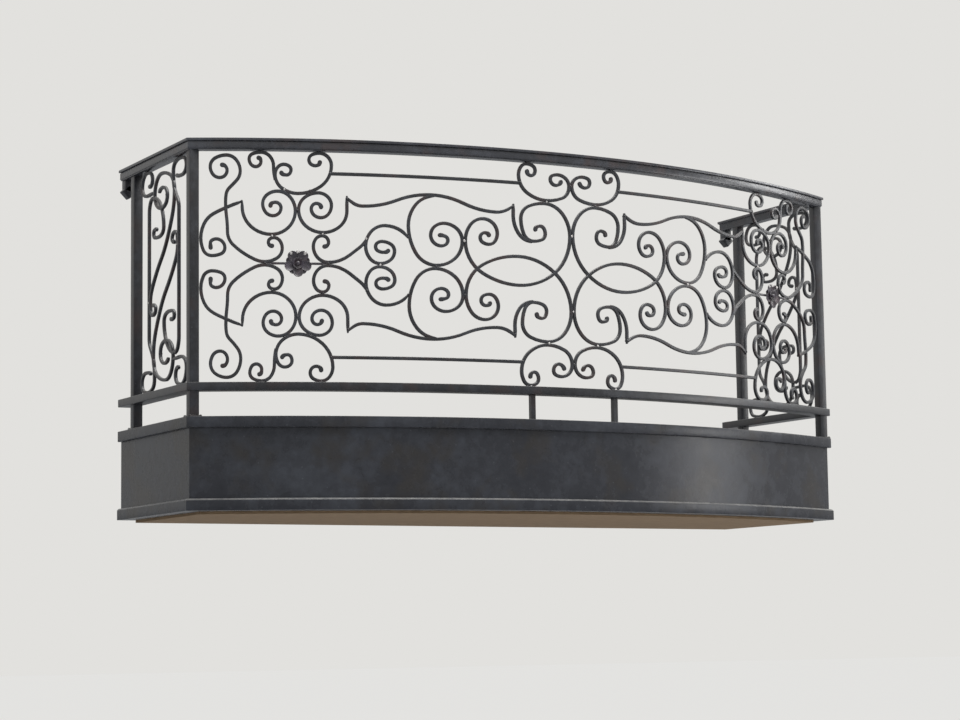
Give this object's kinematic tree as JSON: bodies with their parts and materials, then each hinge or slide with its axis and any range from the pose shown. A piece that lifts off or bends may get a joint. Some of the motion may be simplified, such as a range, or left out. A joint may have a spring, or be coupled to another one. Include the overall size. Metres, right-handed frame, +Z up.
{
  "type": "balcony",
  "caption": "Bowed wrought iron balcony with a scroll railing, a moulded handrail and a boxed steel base, bolted to a wall.",
  "frame": {"origin": "on the ledger's wall face, at the middle of the balcony's width and of its base's height", "axes": "+X along the wall, +Y into the wall, +Z up; the front bows towards -Y"},
  "size_m": [3.024, 1.0888, 1.433],
  "materials": {
    "railing": "semi-matte dark bronze paint",
    "base": "semi-matte dark bronze paint",
    "plaster": "fine sanded stucco"
  },
  "bodies": {
    "root": {"deck": "base", "wall_ledger": "base", "front_fascia": "base", "right_fascia": "base", "left_fascia": "base", "front_top_band": "base", "right_top_band": "base", "left_top_band": "base", "front_foot_band": "base", "right_foot_band": "base", "left_foot_band": "base", "floor_ribs": "base", "soffit": "plaster", "front_top_rail": "railing", "right_top_rail": "railing", "left_top_rail": "railing", "right_corner_post": "railing", "left_corner_post": "railing", "right_wall_post": "railing", "left_wall_post": "railing", "front_bottom_rail": "railing", "right_bottom_rail": "railing", "left_bottom_rail": "railing", "spacers": "railing", "centre_scrolls": "railing", "upper_centre_scrolls": "railing", "lower_centre_scrolls": "railing", "right_upper_bar": "railing", "left_upper_bar": "railing", "right_lower_bar": "railing", "left_lower_bar": "railing", "right_bay_scrolls": "railing", "left_bay_scrolls": "railing", "right_end_scrolls": "railing", "left_end_scrolls": "railing", "right_rosette": "railing", "left_rosette": "railing", "right_side_scrolls": "railing", "left_side_scrolls": "railing", "right_wall_bracket": "railing", "left_wall_bracket": "railing"}
  },
  "joints": []
}
